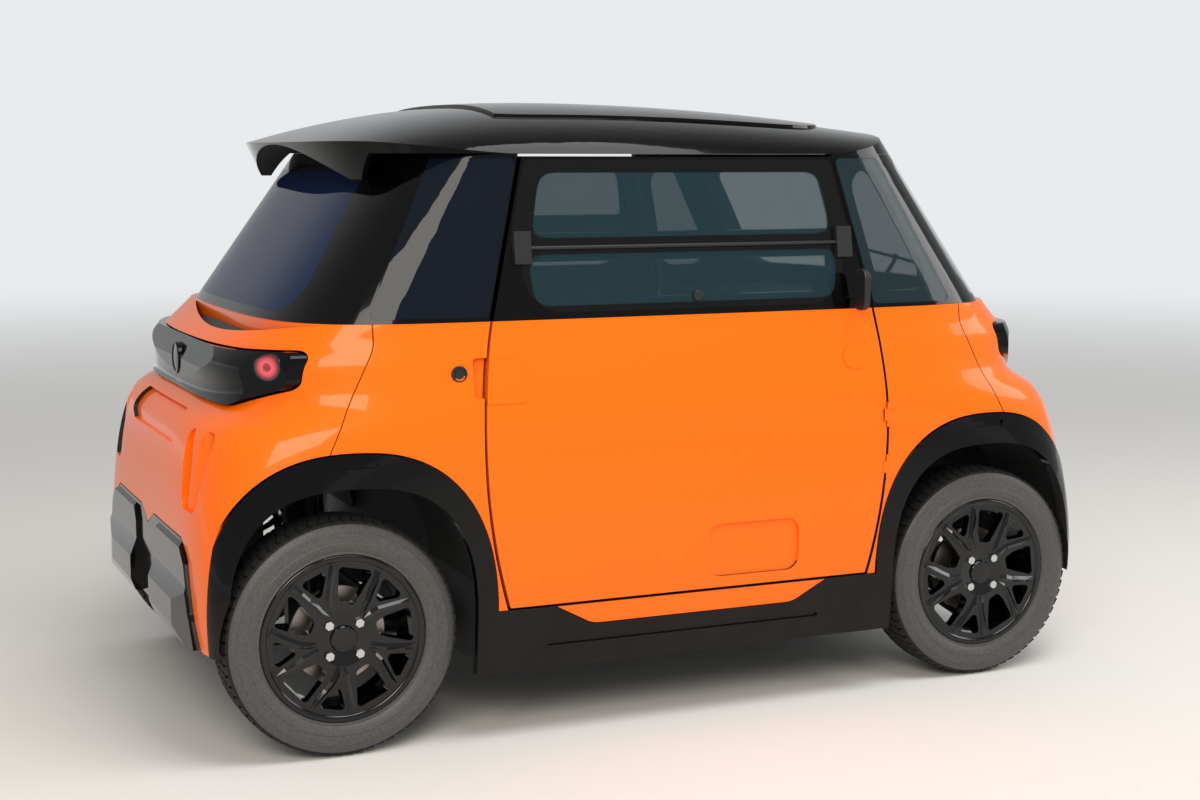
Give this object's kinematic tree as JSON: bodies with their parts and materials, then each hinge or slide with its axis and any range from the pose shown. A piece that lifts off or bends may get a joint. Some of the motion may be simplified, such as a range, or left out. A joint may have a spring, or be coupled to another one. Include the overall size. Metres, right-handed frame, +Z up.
{
  "type": "microcar",
  "caption": "Small box-shaped electric microcar with a rounded body, swing doors, flap windows, a dark roof and lamp masks at both ends.",
  "frame": {"origin": "on the floor under the middle of the car", "axes": "+X forward, +Y to the car's left, +Z up"},
  "size_m": [2.41, 1.452, 1.4959],
  "materials": {
    "body_colour": "gloss",
    "black_gloss": "gloss",
    "black_plastic": "satin",
    "grey_plastic": "matt",
    "window_glass": "polished",
    "dark_glass": "polished",
    "lamp_lens": "clear gloss",
    "tail_lens": "clear gloss",
    "tyre_rubber": "matt",
    "wheel_paint": "gloss",
    "steel": "machined",
    "frame_paint": "satin",
    "motor_case": "cast",
    "seat_fabric": "woven"
  },
  "bodies": {
    "car": {"side_trim_right": "black_gloss", "side_trim_left": "black_gloss", "side_panels_right": "body_colour", "side_panels_left": "body_colour", "front_fascia": "body_colour", "rear_fascia": "body_colour", "front_mask": "black_gloss", "rear_mask": "black_gloss", "front_lamps": "lamp_lens", "tail_lamps": "tail_lens", "front_bumper": "black_plastic", "rear_bumper": "black_plastic", "body_frame": "grey_plastic", "wheel_liners": "black_plastic", "rear_frame": "black_gloss", "cabin_frame": "black_gloss", "windscreen": "window_glass", "rear_window": "dark_glass", "quarter_glass": "dark_glass", "roof": "black_gloss", "floor_pan": "grey_plastic", "chassis_frame": "frame_paint", "drive_block": "motor_case", "front_suspension": "frame_paint", "rear_axle": "frame_paint", "dashboard": "grey_plastic", "steering_column": "black_plastic", "seat_shells": "black_plastic", "seat_cushions": "seat_fabric"},
    "door_right": {"door_panel_right": "body_colour", "door_frame_right": "black_gloss", "door_glass_right": "window_glass", "door_fittings_right": "grey_plastic"},
    "hub_carrier_right": {"knuckle_right": "steel"},
    "wheel_front_right": {"tyre_front_right": "tyre_rubber", "rim_front_right": "wheel_paint"},
    "wheel_rear_right": {"tyre_rear_right": "tyre_rubber", "rim_rear_right": "wheel_paint"},
    "door_left": {"door_panel_left": "body_colour", "door_frame_left": "black_gloss", "door_glass_left": "window_glass", "door_fittings_left": "grey_plastic"},
    "hub_carrier_left": {"knuckle_left": "steel"},
    "wheel_front_left": {"tyre_front_left": "tyre_rubber", "rim_front_left": "wheel_paint"},
    "wheel_rear_left": {"tyre_rear_left": "tyre_rubber", "rim_rear_left": "wheel_paint"},
    "handwheel": {"steering_wheel": "black_plastic"}
  },
  "joints": [
    {"name": "door_right_swing", "type": "hinge", "parent": "car", "child": "door_right", "pos_m": [0.5365, -0.691, 0.6525], "axis": [0, 0, 1], "range_deg": [0, 75]},
    {"name": "door_left_swing", "type": "hinge", "parent": "car", "child": "door_left", "pos_m": [-0.5365, 0.691, 0.6525], "axis": [0, 0, 1], "range_deg": [0, 75]},
    {"name": "steer_right", "type": "hinge", "parent": "car", "child": "hub_carrier_right", "pos_m": [0.865, -0.56, 0.276], "axis": [0, 0, 1], "range_deg": [-30, 30]},
    {"name": "steer_left", "type": "hinge", "parent": "car", "child": "hub_carrier_left", "pos_m": [0.865, 0.56, 0.276], "axis": [0, 0, 1], "range_deg": [-30, 30]},
    {"name": "spin_front_right", "type": "hinge", "parent": "hub_carrier_right", "child": "wheel_front_right", "pos_m": [0.865, -0.572, 0.276], "axis": [0, 1, 0], "continuous": true},
    {"name": "spin_rear_right", "type": "hinge", "parent": "car", "child": "wheel_rear_right", "pos_m": [-0.865, -0.572, 0.276], "axis": [0, 1, 0], "continuous": true},
    {"name": "spin_front_left", "type": "hinge", "parent": "hub_carrier_left", "child": "wheel_front_left", "pos_m": [0.865, 0.572, 0.276], "axis": [0, 1, 0], "continuous": true},
    {"name": "spin_rear_left", "type": "hinge", "parent": "car", "child": "wheel_rear_left", "pos_m": [-0.865, 0.572, 0.276], "axis": [0, 1, 0], "continuous": true},
    {"name": "handwheel_turn", "type": "hinge", "parent": "car", "child": "handwheel", "pos_m": [0.25, 0.28, 0.915], "axis": [-0.9, 0, 0.436], "range_deg": [-420, 420]}
  ],
  "couplings": [
    {"joint": "steer_left", "follows": "steer_right", "ratio": 1},
    {"joint": "handwheel_turn", "follows": "steer_right", "ratio": 14}
  ]
}
